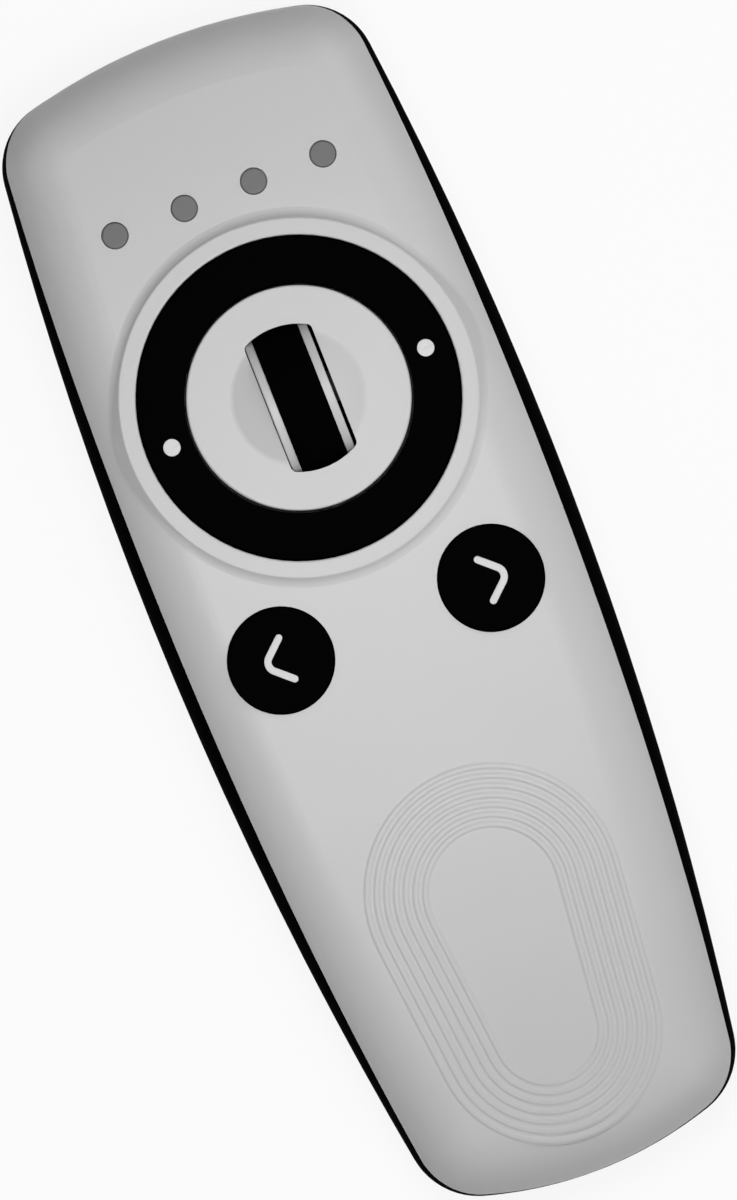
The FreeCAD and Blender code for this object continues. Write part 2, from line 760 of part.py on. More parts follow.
def rear_shell():
    body = pebble(0).cut(pebble(WALL)).cut(above_parting())
    pieces = [body, post(0, BAY_Y, BAY_RADIUS + BAY_WALL, 0, BAY_TOP)]
    for x, y in shell_screw_places():
        pieces.append(post(x, y, SHELL_BOSS, 0, SHELL_BOSS_TOP))
    pieces.append(post(SETUP_X, SETUP_Y, SETUP_COLLAR + BAY_WALL, WALL / 2, SWITCH_LOW - 2 * SETUP_TRAVEL))
    body = fused(pieces)
    cuts = [
        post(0, BAY_Y, CAP_RADIUS + CAP_GAP, -1, LEDGE_LOW),
        post(0, BAY_Y, LEDGE_RADIUS, -1, LEDGE_TOP),
        post(0, BAY_Y, BAY_RADIUS, LEDGE_TOP, BAY_TOP + 1),
        post(SETUP_X, SETUP_Y, SETUP_RADIUS + SETUP_GAP, -1, HEIGHT),
        post(SETUP_X, SETUP_Y, SETUP_COLLAR, WALL, HEIGHT),
    ]
    sweep = LUG_ANGLE + LUG_MARGIN
    notch = sector(0, BAY_Y, LEDGE_RADIUS - 1, BAY_RADIUS, 0, sweep, LEDGE_LOW - 1, LEDGE_TOP + 1)
    cuts += around(notch, 0, BAY_Y, LUGS, 90 - CAP_TURN)
    for x, y in shell_screw_places():
        cuts.append(post(x, y, SHELL_SCREW_RADIUS + HEAD_CLEARANCE / 2, -1, HEIGHT))
        cuts.append(post(x, y, SHELL_SCREW_HEAD + HEAD_CLEARANCE, -1, SHELL_SEAT))
    for cutter in cuts:
        body = body.cut(cutter)
    return body


def battery_cap():
    flange = post(0, BAY_Y, CAP_RADIUS, CAP_RECESS, CAP_RECESS + CAP_FLANGE)
    flange = round_circle(flange, CAP_FLANGE / 2, CAP_RADIUS, CAP_RECESS, 0, BAY_Y)
    plug = post(0, BAY_Y, PLUG_RADIUS, CAP_RECESS + CAP_FLANGE / 2, PLUG_TOP)
    lug = sector(0, BAY_Y, PLUG_RADIUS - 1, PLUG_RADIUS + LUG_REACH, 0, LUG_ANGLE, LUG_LOW, PLUG_TOP)
    body = fused([flange, plug] + around(lug, 0, BAY_Y, LUGS, 90))
    slot = rounded_block(
        0, BAY_Y, COIN_SLOT_LENGTH, COIN_SLOT_WIDTH, COIN_SLOT_CORNER, -1, CAP_RECESS + COIN_SLOT_DEPTH
    )
    return body.cut(slot)


def cap_seal():
    low = CAP_RECESS + CAP_FLANGE
    outer = LEDGE_RADIUS + SEAL_WIDTH
    return collar(0, BAY_Y, outer, LEDGE_RADIUS, low, LEDGE_LOW - SEAL_GAP)


def coin_cell():
    can_top = CELL_TOP - CELL_STEP
    body = turned([
        (0, CELL_LOW), (CELL_RADIUS, CELL_LOW), (CELL_RADIUS, can_top),
        (CELL_RADIUS - CELL_RIM, can_top), (CELL_RADIUS - CELL_RIM - CELL_STEP, CELL_TOP), (0, CELL_TOP),
    ], 0, BAY_Y)
    body = round_circle(body, CELL_EDGE, CELL_RADIUS, CELL_LOW, 0, BAY_Y)
    return round_circle(body, CELL_EDGE, CELL_RADIUS, can_top, 0, BAY_Y)


def strip(points, thick, width):
    """Sheet metal strip across X: (y, z) points of its middle line, its thickness and width."""
    above = []
    below = []
    for index, (y, z) in enumerate(points):
        before = points[max(index - 1, 0)]
        after = points[min(index + 1, len(points) - 1)]
        normals = []
        for start, end in ((before, (y, z)), ((y, z), after)):
            if start != end:
                normals.append(unit(vec(0, start[1] - end[1], end[0] - start[0])))
        mean = unit(normals[0] + normals[-1])
        half = thick / 2 / mean.dot(normals[0])
        above.append(vec(-width / 2, y, z) + mean * half)
        below.append(vec(-width / 2, y, z) - mean * half)
    return polygon_face(above + below[::-1]).extrude(vec(width, 0))


def negative_contact():
    """Leaf under the board whose nose presses on the middle of the cell."""
    foot_z = BOARD_LOW - CONTACT / 2
    nose_z = CELL_TOP + LUG_GAP + CONTACT
    start = BAY_Y + CONTACT_SLANT - CONTACT_FOOT / 2
    return strip([
        (start + CONTACT_FOOT, foot_z), (start, foot_z),
        (BAY_Y, nose_z), (BAY_Y - CONTACT_FOOT / 2, nose_z + CONTACT_FOOT / 4),
    ], CONTACT, CONTACT_WIDTH)


def positive_contact():
    """Bent clip that stands against the rim of the cell."""
    foot_z = BOARD_LOW - CONTACT / 2
    wall_y = BAY_Y - CELL_RADIUS - LUG_GAP - CONTACT
    return strip([
        (wall_y - CONTACT_FOOT, foot_z), (wall_y, foot_z), (wall_y, CELL_LOW + CELL_THICK / 4),
    ], CONTACT, CONTACT_WIDTH)


def setup_button():
    flange_low = WALL + LUG_GAP
    flange_top = flange_low + SETUP_FLANGE_THICK
    stem_top = SWITCH_LOW - SETUP_TRAVEL - LUG_GAP
    return turned([
        (0, SETUP_RECESS), (SETUP_RADIUS, SETUP_RECESS), (SETUP_RADIUS, flange_low),
        (SETUP_FLANGE, flange_low), (SETUP_FLANGE, flange_top), (SETUP_RADIUS, flange_top),
        (SETUP_RADIUS, stem_top), (0, stem_top),
    ], SETUP_X, SETUP_Y)


def setup_switch():
    body = rounded_block(
        SETUP_X, SETUP_Y, SWITCH_SIZE, SWITCH_SIZE, SWITCH_CORNER, BOARD_LOW - SWITCH_BODY, BOARD_LOW
    )
    plunger = post(SETUP_X, SETUP_Y, SETUP_RADIUS, SWITCH_LOW, BOARD_LOW - SWITCH_BODY / 2)
    return fused([body, plunger])


def main_board():
    plate = Part.Face(outline(WALL + BOARD_MARGIN)).extrude(vec(0, 0, BOARD_THICK))
    plate.translate(vec(0, 0, BOARD_LOW))
    plate = plate.common(block(-WIDTH, WIDTH, BOARD_TAIL_Y, BOARD_HEAD_Y, BOARD_LOW, BOARD_TOP)).Solids[0]
    corners = []
    for edge in upright_edges(plate):
        y = edge.CenterOfMass.y
        if min(y - BOARD_TAIL_Y, BOARD_HEAD_Y - y) < SAME:
            corners.append(edge)
    plate = plate.makeFillet(BOARD_CORNER, corners)
    cuts = [
        centred(0, PAD_Y, 2 * CHEEK_X, 2 * (WHEEL_RADIUS + SLOT_MARGIN), BOARD_LOW - 1, BOARD_TOP + 1),
        block(
            -DISC_X - ENCODER_THICK - DISC_GAP, DISC_X + DETENT_WIDTH + DISC_GAP,
            PAD_Y - ENCODER_RADIUS - SLOT_MARGIN, PAD_Y + ENCODER_RADIUS + SLOT_MARGIN,
            BOARD_LOW - 1, BOARD_TOP + 1,
        ),
    ]
    for x, y in frame_screw_places() + tail_screw_places():
        cuts.append(post(x, y, BOARD_SCREW_RADIUS + HEAD_CLEARANCE / 2, BOARD_LOW - 1, BOARD_TOP + 1))
    for cutter in cuts:
        plate = plate.cut(cutter)
    return plate


def control_frame():
    """Plate over the board that carries the hub plate, the ring's pivots and the cradle."""
    plate = rounded_block(0, PAD_Y, 2 * FRAME_HALF_X, 2 * FRAME_HALF_Y, FRAME_CORNER, FRAME_LOW, FRAME_TOP)
    ear_low = RING_BORE + RING_SKIRT + EAR_GAP
    ear = block(ear_low, ear_low + EAR_THICK, PAD_Y - LUG_HALF, PAD_Y + LUG_HALF, FRAME_LOW, PIN_Z)
    crown = rod(ear_low, ear_low + EAR_THICK, PAD_Y, PIN_Z, LUG_HALF)
    spacers = []
    for x, y in frame_screw_places():
        spacers.append(post(x, y, BOARD_BOSS, BOARD_TOP, FRAME_LOW))
    body = fused([plate] + both_sides(ear) + both_sides(crown) + spacers)
    cuts = [post(0, PAD_Y, CRADLE_RADIUS + CRADLE_GAP, FRAME_LOW - 1, FRAME_TOP + 1)]
    cuts.append(rod(-WIDTH, WIDTH, PAD_Y, PIN_Z, PIN_RADIUS + PIN_CLEARANCE))
    for y in (PAD_Y + RING_LEG_ARM, PAD_Y - RING_LEG_ARM):
        cuts.append(post(0, y, DOME_RADIUS + CRADLE_GAP, FRAME_LOW - 1, FRAME_TOP + 1))
    for x, y in frame_screw_places():
        cuts.append(post(x, y, BOARD_SCREW_RADIUS + HEAD_CLEARANCE / 2, BOARD_TOP - 1, FRAME_TOP + 1))
    for cutter in cuts:
        body = body.cut(cutter)
    for cutter in hub_pegs(PEG_RADIUS + PEG_CLEARANCE, FRAME_LOW - 1):
        body = body.cut(cutter)
    return body


def hub_pegs(radius, low):
    """Posts under the hub plate's skirt."""
    peg = post(HUB_RADIUS - HUB_SKIRT / 2, PAD_Y, radius, low, FRAME_TOP + HUB_SKIRT)
    return around(peg, 0, PAD_Y, HUB_PEGS, 180 / HUB_PEGS)


def hub_plate():
    """Fixed plate inside the ring: a low mound and the slot that the wheel looks out of."""
    body = turned([
        (0, PLATE_LOW), (HUB_RADIUS - HUB_SKIRT, PLATE_LOW), (HUB_RADIUS - HUB_SKIRT, FRAME_TOP),
        (HUB_RADIUS, FRAME_TOP), (HUB_RADIUS, RING_Z), (0, RING_Z),
    ], 0, PAD_Y)
    body = round_circle(body, HUB_EDGE, HUB_RADIUS, RING_Z, 0, PAD_Y)
    low = PLATE_LOW - 1
    high = RING_Z + HEIGHT
    ball = ball_radius(MOUND_RADIUS, MOUND_RISE)
    middle = vec(0, PAD_Y, RING_Z + MOUND_RISE - ball)
    mound = Part.makeSphere(ball, middle).common(post(0, PAD_Y, HUB_RADIUS, PLATE_LOW, high))
    body = body.fuse(mound).removeSplitter()
    body = round_circle(body, MOUND_FOOT, MOUND_RADIUS, RING_Z, 0, PAD_Y)
    hollow = Part.makeSphere(ball - HUB_PLATE, middle)
    body = body.cut(hollow.common(post(0, PAD_Y, MOUND_RADIUS, low, high)))
    slot = block(-SLOT_LEFT, SLOT_RIGHT, PAD_Y - SLOT_REACH, PAD_Y + SLOT_REACH, low, high)
    slot = slot.common(post(0, PAD_Y, SLOT_REACH, low, high))
    slot = slot.makeFillet(SLOT_CORNER, upright_edges(slot))
    body = body.cut(slot)
    return fused([body] + hub_pegs(PEG_RADIUS, FRAME_LOW))


def rocker_ring():
    """Ring key that rocks on two pins under its dots."""
    outer = RING_RADIUS
    inner = RING_BORE
    shoulder = RING_Z - RING_CROWN
    points = [
        (inner, shoulder), (inner, RING_LOW), (inner + RING_SKIRT, RING_LOW),
        (inner + RING_SKIRT, PLATE_LOW), (outer - RING_SKIRT, PLATE_LOW), (outer - RING_SKIRT, RING_LOW),
        (FLANGE_RADIUS, RING_LOW), (FLANGE_RADIUS, FLANGE_TOP), (outer, FLANGE_TOP), (outer, shoulder),
    ]
    corners = [vec(radius, PAD_Y, z) for radius, z in points]
    top = Part.Arc(corners[-1], vec((inner + outer) / 2, PAD_Y, RING_Z), corners[0]).toShape()
    section = Part.Face(Part.Wire(Part.__sortEdges__(Part.makePolygon(corners).Edges + [top])))
    body = section.revolve(vec(0, PAD_Y), vec(0, 0, 1), 360)
    for radius in (inner, outer):
        body = round_circle(body, RING_EDGE, radius, shoulder, 0, PAD_Y)
    lugs = []
    for low, high in ((inner, inner + RING_SKIRT), (outer - RING_SKIRT, outer)):
        tube = collar(0, PAD_Y, high, low, PIN_Z - PIN_RADIUS - RING_EDGE, PLATE_LOW)
        lugs += both_sides(tube.common(block(0, WIDTH, PAD_Y - LUG_HALF, PAD_Y + LUG_HALF, 0, HEIGHT)))
    legs = []
    for y in (PAD_Y + RING_LEG_ARM, PAD_Y - RING_LEG_ARM):
        legs.append(post(0, y, LEG_RADIUS, DOME_Z + LEG_GAP, PLATE_LOW + LEG_ROOT))
    body = fused([body] + lugs + legs)
    for pin in both_sides(rod(inner - 1, outer + 1, PAD_Y, PIN_Z, PIN_RADIUS)):
        body = body.cut(pin)
    return body


def pivot_pins():
    """Steel pins pressed through the ring's lugs."""
    return group(both_sides(rod(RING_BORE + RING_EDGE, RING_RADIUS - RING_EDGE, PAD_Y, PIN_Z, PIN_RADIUS)))


def wheel_tyre():
    inner = WHEEL_RADIUS - TYRE_DEPTH
    half = TYRE_WIDTH / 2
    edge = WHEEL_RADIUS - TYRE_CROWN
    corners = [
        vec(WHEEL_X - half, PAD_Y + edge, AXLE_Z), vec(WHEEL_X - half, PAD_Y + inner, AXLE_Z),
        vec(WHEEL_X + half, PAD_Y + inner, AXLE_Z), vec(WHEEL_X + half, PAD_Y + edge, AXLE_Z),
    ]
    tread = Part.Arc(corners[3], vec(WHEEL_X, PAD_Y + WHEEL_RADIUS, AXLE_Z), corners[0]).toShape()
    section = Part.Face(Part.Wire(Part.__sortEdges__(Part.makePolygon(corners).Edges + [tread])))
    return section.revolve(vec(0, PAD_Y, AXLE_Z), vec(1, 0, 0), 360)


def wheel_rims():
    """Two bright rings that hold the tyre between them."""
    outer = WHEEL_RADIUS - TYRE_CROWN - RIM_DROP
    low = TYRE_WIDTH / 2
    high = WHEEL_WIDTH / 2
    rings = []
    for side in (1, -1):
        rings.append(turned_on_axle([
            (side * low, outer - RIM_DEPTH), (side * high, outer - RIM_DEPTH),
            (side * high, outer - RIM_BEVEL), (side * (high - RIM_BEVEL), outer), (side * low, outer),
        ]))
    return group(rings)


def wheel_core():
    """Spoked hub inside the tyre."""
    outer = WHEEL_RADIUS - TYRE_DEPTH
    inner = outer - CORE_RIM
    half = TYRE_WIDTH / 2
    ring = turned_on_axle([(-half, inner), (-half, outer), (half, outer), (half, inner)])
    hub = rod(WHEEL_X - half, WHEEL_X + half, PAD_Y, AXLE_Z, CORE_HUB)
    spoke = block(
        WHEEL_X - half / 2, WHEEL_X + half / 2, PAD_Y, PAD_Y + inner + CORE_RIM / 2,
        AXLE_Z - SPOKE_THICK / 2, AXLE_Z + SPOKE_THICK / 2,
    )
    body = fused([ring, hub] + around_axle(spoke, SPOKES))
    return body.cut(rod(-WHEEL_WIDTH, WHEEL_WIDTH, PAD_Y, AXLE_Z, AXLE_RADIUS))


def wheel_axle():
    left = -DISC_X - ENCODER_THICK - AXLE_END
    right = DISC_X + DETENT_WIDTH + AXLE_END
    return rod(left, right, PAD_Y, AXLE_Z, AXLE_RADIUS)


def encoder_disc():
    left = -DISC_X - ENCODER_THICK
    disc = rod(left, -DISC_X, PAD_Y, AXLE_Z, ENCODER_RADIUS)
    outer = ENCODER_RADIUS - SLIT_MARGIN
    slit = block(
        left - 1, 1 - DISC_X, PAD_Y + outer - SLIT_LENGTH, PAD_Y + outer,
        AXLE_Z - SLIT_WIDTH / 2, AXLE_Z + SLIT_WIDTH / 2,
    )
    for cutter in around_axle(slit, ENCODER_SLOTS):
        disc = disc.cut(cutter)
    return disc.cut(rod(left - 1, 1 - DISC_X, PAD_Y, AXLE_Z, AXLE_RADIUS))


def detent_cam():
    right = DISC_X + DETENT_WIDTH
    cam = rod(DISC_X, right, PAD_Y, AXLE_Z, DETENT_RADIUS)
    notch = rod(DISC_X - 1, right + 1, PAD_Y + DETENT_RADIUS, AXLE_Z, NOTCH_RADIUS)
    for cutter in around_axle(notch, DETENTS):
        cam = cam.cut(cutter)
    return cam.cut(rod(DISC_X - 1, right + 1, PAD_Y, AXLE_Z, AXLE_RADIUS))


def wheel_cradle():
    """Sprung carrier of the axle, stopped by its tabs under the control frame."""
    plate = post(0, PAD_Y, CRADLE_RADIUS, CRADLE_LOW, CRADLE_TOP)
    cheek = block(CHEEK_X, CHEEK_END, PAD_Y - CHEEK_HALF, PAD_Y + CHEEK_HALF, CRADLE_LOW, AXLE_Z)
    crown = rod(TYRE_WIDTH / 2 + WHEEL_X + BEARING_GAP, CHEEK_END, PAD_Y, AXLE_Z, CHEEK_TOP)
    tab = block(CRADLE_RADIUS - 1, TAB_REACH, PAD_Y - TAB_HALF, PAD_Y + TAB_HALF, CRADLE_LOW, TAB_TOP)
    slot = centred(0, PAD_Y, 2 * CHEEK_X, 4 * WHEEL_RADIUS, CRADLE_LOW - 1, CRADLE_TOP + 1)
    slot = slot.common(post(0, PAD_Y, WHEEL_RADIUS + SLOT_MARGIN, CRADLE_LOW - 1, CRADLE_TOP + 1))
    encoder_end = -DISC_X - ENCODER_THICK - DISC_GAP
    detent_end = DISC_X + DETENT_WIDTH + DISC_GAP / 2
    encoder_reach = ENCODER_RADIUS + SLOT_MARGIN
    detent_reach = DETENT_RADIUS + SLOT_MARGIN
    body = fused([plate] + both_sides(tab)).cut(slot)
    body = body.cut(block(
        encoder_end, -CHEEK_END, PAD_Y - encoder_reach, PAD_Y + encoder_reach,
        CRADLE_LOW - 1, CRADLE_TOP + 1,
    ))
    body = body.cut(block(
        CHEEK_END, detent_end, PAD_Y - detent_reach, PAD_Y + detent_reach,
        CRADLE_LOW - 1, CRADLE_TOP + 1,
    ))
    body = fused([body] + both_sides(cheek) + both_sides(crown))
    return body.cut(rod(-WIDTH, WIDTH, PAD_Y, AXLE_Z, AXLE_RADIUS + AXLE_CLEARANCE))


def encoder_sensor():
    """Light fork over the edge of the encoder disc."""
    left = -DISC_X - ENCODER_THICK - FORK_GAP - FORK_ARM
    right = -DISC_X + FORK_GAP + FORK_ARM
    back = PAD_Y - ENCODER_RADIUS - SLOT_MARGIN - FORK_DEPTH
    front = back + FORK_DEPTH + 2 * SLOT_MARGIN
    body = block(left, right, back, front, CRADLE_TOP, CRADLE_TOP + FORK_HEIGHT)
    mouth = block(
        left + FORK_ARM, right - FORK_ARM, front - 3 * SLOT_MARGIN, front + 1,
        CRADLE_TOP - 1, CRADLE_TOP + FORK_HEIGHT + 1,
    )
    return body.cut(mouth)


def detent_spring():
    """Leaf that stands against the notched wheel."""
    blade = PAD_Y + DETENT_RADIUS + LEAF_GAP
    right = DISC_X + DETENT_WIDTH
    foot = block(DISC_X, right, blade, blade + LEAF_FOOT, CRADLE_TOP, CRADLE_TOP + LEAF)
    upright = block(DISC_X, right, blade, blade + LEAF, CRADLE_TOP, CRADLE_TOP + LEAF_HEIGHT)
    rivet = post((DISC_X + right) / 2, blade + LEAF_RIVET, 2 * LEAF, CRADLE_TOP, CRADLE_TOP + 2 * LEAF)
    return fused([foot, upright, rivet])


def dome(x, y, base):
    """A hollow rubber dome with a contact pill under its top."""
    neck = DOME_TOP - DOME_WALL
    waist = BOARD_TOP + MAT_THICK
    collapse = DOME_Z - 2 * DOME_WALL
    pill = DOME_Z - DOME_PILL
    return turned([
        (DOME_RADIUS - DOME_WALL, BOARD_TOP), (base, BOARD_TOP), (base, waist), (DOME_RADIUS, waist),
        (DOME_TOP, collapse), (DOME_TOP, DOME_Z), (0, DOME_Z), (0, pill), (neck, pill),
        (neck, collapse),
    ], x, y)


def ring_keypad():
    base = DOME_RADIUS + MAT_MARGIN
    return group([dome(0, PAD_Y + side * RING_LEG_ARM, base) for side in (1, -1)])


def channel_keypad():
    base = DOME_RADIUS + MAT_MARGIN
    domes = [dome(side * BUTTON_X, BUTTON_Y, base) for side in (1, -1)]
    reach = 2 * (BUTTON_X - DOME_RADIUS)
    bridge = centred(0, BUTTON_Y, reach, 2 * DOME_TOP, BOARD_TOP, BOARD_TOP + MAT_THICK)
    return fused(domes + [bridge])


def press_domes():
    """Metal snap domes under the cradle's tabs."""
    ball = ball_radius(SNAP_RADIUS, SNAP_HEIGHT)
    shapes = []
    for x in (SNAP_ARM, -SNAP_ARM):
        cap = Part.makeSphere(ball, vec(x, PAD_Y, BOARD_TOP + SNAP_HEIGHT - ball))
        shapes.append(cap.common(post(x, PAD_Y, SNAP_RADIUS + 1, BOARD_TOP, FRAME_LOW)))
    return group(shapes)


def channel_button(x):
    """Round key with a hollow underside, a flange that holds it in and a leg to its dome."""
    inner = crown_z(BUTTON_Y, WALL)
    flange_top = inner - BUTTON_FLANGE_DROP
    low = flange_top - BUTTON_FLANGE_THICK
    top = crown_z(BUTTON_Y) + BUTTON_PROUD
    roof = top - BUTTON_PLATE
    hollow = BUTTON_RADIUS - BUTTON_SKIRT
    body = turned([
        (0, roof), (hollow, roof), (hollow, low), (BUTTON_RADIUS + BUTTON_FLANGE, low),
        (BUTTON_RADIUS + BUTTON_FLANGE, flange_top), (BUTTON_RADIUS, flange_top),
        (BUTTON_RADIUS, top), (0, top),
    ], x, BUTTON_Y)
    body = round_circle(body, BUTTON_EDGE, BUTTON_RADIUS, top, x, BUTTON_Y)
    body = body.cut(dish(x, BUTTON_Y, top, BUTTON_RADIUS - BUTTON_EDGE, BUTTON_DIP))
    return fused([body, post(x, BUTTON_Y, LEG_RADIUS, DOME_Z + LEG_GAP, roof + LEG_ROOT)])


def light_guide():
    """Clear comb: four pipes that end in the windows, on a bar with two legs."""
    bar_top = crown_z(WINDOW_Y + GUIDE_HALF, WALL) - GUIDE_DROP
    bar_low = bar_top - GUIDE_THICK
    reach = (WINDOWS - 1) / 2 * WINDOW_PITCH + GUIDE_OVERHANG
    low = BOARD_TOP + LED_HEIGHT + LED_GAP
    pieces = [block(-reach, reach, WINDOW_Y - GUIDE_HALF, WINDOW_Y + GUIDE_HALF, bar_low, bar_top)]
    pieces += both_sides(block(
        reach - GUIDE_LEG, reach, WINDOW_Y - GUIDE_HALF / 2, WINDOW_Y + GUIDE_HALF / 2, BOARD_TOP, bar_top
    ))
    for x, y in window_places():
        pieces.append(post(x, y, WINDOW_RADIUS - WINDOW_GAP, low, RING_Z))
    body = fused(pieces).common(pebble(WINDOW_SINK)).Solids[0]
    brim = crown_z(WINDOW_Y + WINDOW_RADIUS, WINDOW_SINK) - SAME
    return body.makeFillet(WINDOW_EDGE, [edge for edge in body.Edges if edge.BoundBox.ZMin > brim])


def indicator_leds():
    lights = []
    for x, y in window_places():
        lights.append(rounded_block(
            x, y, LED_LENGTH, LED_WIDTH, LED_CORNER, BOARD_TOP, BOARD_TOP + LED_HEIGHT
        ))
    return group(lights)


def chip(y, size, low):
    """Square chip body with a bevelled upper face."""
    body = centred(0, y, size, size, low, BOARD_TOP + CHIP_THICK)
    top = max(body.Faces, key=lambda one: one.CenterOfMass.z)
    return body.makeChamfer(CHIP_EDGE, top.Edges)


def controller_chip():
    """Chip with bent leads on all four sides."""
    side = CHIP_Y + CHIP_SIZE / 2
    shoulder_z = BOARD_TOP + LEAD_HEIGHT
    foot_z = BOARD_TOP + LEAD_THICK / 2
    pitch = CHIP_SIZE / (LEADS + 1)
    lead = strip([
        (side - LEAD_ROOT, shoulder_z), (side + LEAD_SHOULDER, shoulder_z),
        (side + LEAD_KNEE, foot_z), (side + LEAD_REACH, foot_z),
    ], LEAD_THICK, pitch / 2)
    leads = []
    for index in range(LEADS):
        placed = lead.translated(vec((index - (LEADS - 1) / 2) * pitch, 0))
        leads += around(placed, 0, CHIP_Y, 4)
    return fused([chip(CHIP_Y, CHIP_SIZE, BOARD_TOP + CHIP_STAND)] + leads)


def radio_chip():
    return chip(RADIO_Y, RADIO_SIZE, BOARD_TOP)


def crystal():
    body = rounded_block(
        CRYSTAL_X, CRYSTAL_Y, CRYSTAL_LENGTH, CRYSTAL_WIDTH, CRYSTAL_CORNER,
        BOARD_TOP, BOARD_TOP + CRYSTAL_HEIGHT,
    )
    top = max(body.Faces, key=lambda one: one.CenterOfMass.z)
    return body.makeFillet(CRYSTAL_EDGE, top.Edges)


def capacitors():
    first = -(CAPACITORS - 1) / 2 * CAPACITOR_PITCH
    shapes = []
    for index in range(CAPACITORS):
        x = first + index * CAPACITOR_PITCH
        shapes.append(centred(
            x, CAPACITOR_Y, CAPACITOR_LENGTH, CAPACITOR_WIDTH, BOARD_TOP, BOARD_TOP + CAPACITOR_HEIGHT
        ))
    return group(shapes)


def antenna():
    """Wire bridge that stands on the board beside the chips."""
    top = BOARD_TOP + ANTENNA_RISE
    bend = ANTENNA_BEND
    head = vec(ANTENNA_X, ANTENNA_HEAD_Y, top)
    tail = vec(ANTENNA_X, ANTENNA_TAIL_Y, top)
    down = vec(0, 0, -1)
    in_head = head + vec(0, -bend)
    in_tail = tail + vec(0, bend)
    path = Part.Wire([
        line(vec(ANTENNA_X, ANTENNA_HEAD_Y, BOARD_TOP), head + down * bend),
        arc(in_head + down * bend, head + down * bend, in_head),
        line(in_head, in_tail),
        arc(in_tail + down * bend, in_tail, tail + down * bend),
        line(tail + down * bend, vec(ANTENNA_X, ANTENNA_TAIL_Y, BOARD_TOP)),
    ])
    foot = vec(ANTENNA_X, ANTENNA_HEAD_Y, BOARD_TOP)
    ring = Part.Wire([Part.makeCircle(ANTENNA_RADIUS, foot, vec(0, 0, 1))])
    return path.makePipeShell([ring], True, True)


def board_screws():
    head_low = BOARD_LOW - BOARD_HEAD_THICK
    screws = []
    for places, seat in ((frame_screw_places(), FRAME_TOP), (tail_screw_places(), BOARD_TOP)):
        for x, y in places:
            screws.append(screw(
                x, y, head_low, BOARD_HEAD_THICK, BOARD_SCREW_HEAD, BOARD_SCREW_RADIUS,
                seat + BOARD_SCREW_BITE,
            ))
    return group(screws)


def shell_screws():
    screws = []
    for x, y in shell_screw_places():
        screws.append(screw(
            x, y, SHELL_SEAT - SHELL_HEAD_THICK, SHELL_HEAD_THICK, SHELL_SCREW_HEAD, SHELL_SCREW_RADIUS,
            SHELL_BOSS_TOP + SHELL_SCREW_BITE,
        ))
    return group(screws)


NODES = {
    "front_shell": front_shell,
    "rear_shell": rear_shell,
    "battery_cap": battery_cap,
    "cap_seal": cap_seal,
    "coin_cell": coin_cell,
    "negative_contact": negative_contact,
    "positive_contact": positive_contact,
    "setup_button": setup_button,
    "setup_switch": setup_switch,
    "main_board": main_board,
    "control_frame": control_frame,
    "hub_plate": hub_plate,
    "rocker_ring": rocker_ring,
    "pivot_pins": pivot_pins,
    "wheel_tyre": wheel_tyre,
    "wheel_rims": wheel_rims,
    "wheel_core": wheel_core,
    "wheel_axle": wheel_axle,
    "encoder_disc": encoder_disc,
    "detent_cam": detent_cam,
    "wheel_cradle": wheel_cradle,
    "encoder_sensor": encoder_sensor,
    "detent_spring": detent_spring,
    "ring_keypad": ring_keypad,
    "channel_keypad": channel_keypad,
    "press_domes": press_domes,
    "prev_button": lambda: channel_button(-BUTTON_X),
    "next_button": lambda: channel_button(BUTTON_X),
    "light_guide": light_guide,
    "indicator_leds": indicator_leds,
    "controller_chip": controller_chip,
    "radio_chip": radio_chip,
    "crystal": crystal,
    "capacitors": capacitors,
    "antenna": antenna,
    "board_screws": board_screws,
    "shell_screws": shell_screws,
}


def main():
    os.makedirs("parts", exist_ok=True)
    for name, make in NODES.items():
        shape = make()
        solids = shape.Solids
        kept = solids[0] if len(solids) == 1 else Part.makeCompound(solids)
        print(f"{name}: {len(solids)} solids, valid {kept.isValid()}, volume {kept.Volume:.2f} mm3")
        kept.exportStep(os.path.join("parts", name + ".step"))


main()
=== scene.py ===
"""Looks of the handheld remote control: its signs, its finishes, the floor, the lights and the camera.

Metres, in the frame of the part: +Z is up through the control face and +Y runs to the head with
the four windows. The photograph looks straight down on the face, with the remote turned.
"""

import json
import math

import bmesh
import bpy
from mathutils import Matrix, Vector
from mathutils.bvhtree import BVHTree


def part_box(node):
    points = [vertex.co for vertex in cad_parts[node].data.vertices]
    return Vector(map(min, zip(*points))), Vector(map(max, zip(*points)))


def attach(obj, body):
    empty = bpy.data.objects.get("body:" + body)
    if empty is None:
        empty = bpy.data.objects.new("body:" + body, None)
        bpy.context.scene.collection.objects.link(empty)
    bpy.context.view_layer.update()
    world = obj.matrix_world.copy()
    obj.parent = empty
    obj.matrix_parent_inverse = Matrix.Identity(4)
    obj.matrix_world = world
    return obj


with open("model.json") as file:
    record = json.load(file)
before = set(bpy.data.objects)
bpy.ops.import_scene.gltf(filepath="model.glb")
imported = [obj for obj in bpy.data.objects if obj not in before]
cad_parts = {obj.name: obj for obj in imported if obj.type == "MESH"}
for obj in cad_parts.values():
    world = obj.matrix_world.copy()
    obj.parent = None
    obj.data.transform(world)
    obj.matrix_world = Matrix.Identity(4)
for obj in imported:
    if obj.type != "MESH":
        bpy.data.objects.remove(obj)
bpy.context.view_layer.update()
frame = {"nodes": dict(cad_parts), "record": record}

# The photograph: the remote's head leans to the left of the picture's upright
LEAN = math.radians(21.5)
PICTURE_RIGHT = Vector((math.cos(LEAN), -math.sin(LEAN), 0))
PICTURE_UP = Vector((math.sin(LEAN), math.cos(LEAN), 0))
PICTURE_SPAN = 0.1485           # real height of the picture, measured at the face
PICTURE_MIDDLE = Vector((-0.001146, 0.0012, 0.014))
